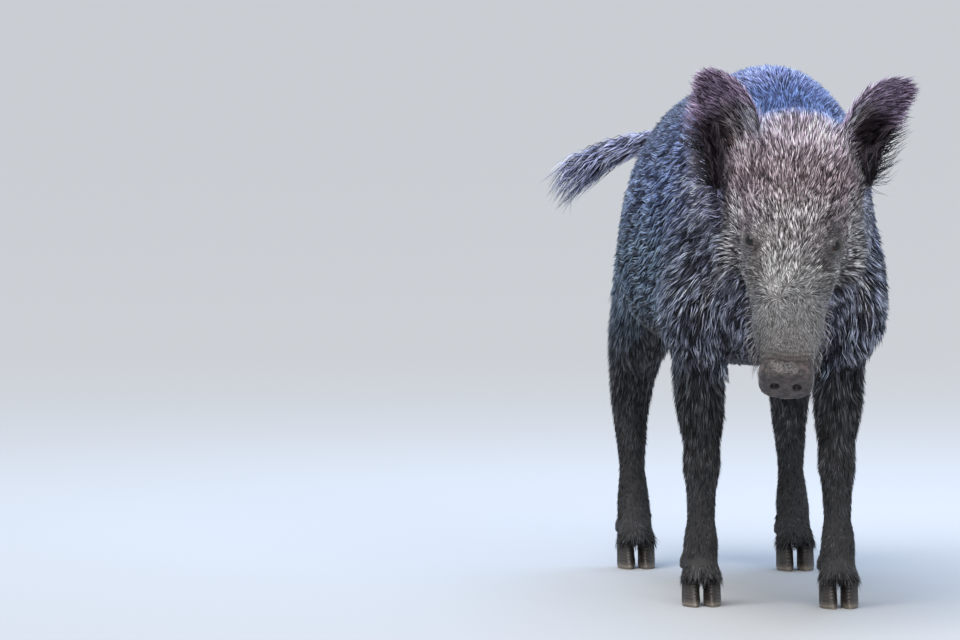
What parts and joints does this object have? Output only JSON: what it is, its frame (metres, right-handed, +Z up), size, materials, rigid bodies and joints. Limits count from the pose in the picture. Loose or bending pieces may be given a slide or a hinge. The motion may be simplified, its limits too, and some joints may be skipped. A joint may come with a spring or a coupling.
{
  "type": "wild boar",
  "caption": "Life-size still wild boar sow in short summer coat, standing with lowered head, ears up and tail swept to one side.",
  "frame": {"origin": "middle of the underside of the sow's bounding box, level with the soles", "axes": "+Z up; the sow faces -Y with her tail towards +Y; her left side is towards +X"},
  "size_m": [0.401, 1.137, 0.7245],
  "materials": {
    "coat": "short bristly hair, dark slate grey with pale tips over a brown-black base",
    "face_coat": "short straight hair, warm grey brown with pale tips",
    "ear_coat": "thin dark brown hair with a long fringe",
    "snout_skin": "bare damp dark skin",
    "claw_horn": "worn dark horn",
    "eye_brown": "wet dark brown eye"
  },
  "bodies": {
    "root": {"trunk": "coat", "neck": "coat", "head": "face_coat", "snout": "snout_skin", "tail": "coat", "ear_right": "ear_coat", "ear_left": "ear_coat", "eye_right": "eye_brown", "eye_left": "eye_brown", "leg_front_right": "coat", "claw_front_right_outer": "claw_horn", "dewclaw_front_right_outer": "claw_horn", "claw_front_right_inner": "claw_horn", "dewclaw_front_right_inner": "claw_horn", "leg_front_left": "coat", "claw_front_left_outer": "claw_horn", "dewclaw_front_left_outer": "claw_horn", "claw_front_left_inner": "claw_horn", "dewclaw_front_left_inner": "claw_horn", "leg_hind_right": "coat", "claw_hind_right_outer": "claw_horn", "dewclaw_hind_right_outer": "claw_horn", "claw_hind_right_inner": "claw_horn", "dewclaw_hind_right_inner": "claw_horn", "leg_hind_left": "coat", "claw_hind_left_outer": "claw_horn", "dewclaw_hind_left_outer": "claw_horn", "claw_hind_left_inner": "claw_horn", "dewclaw_hind_left_inner": "claw_horn"}
  },
  "joints": []
}
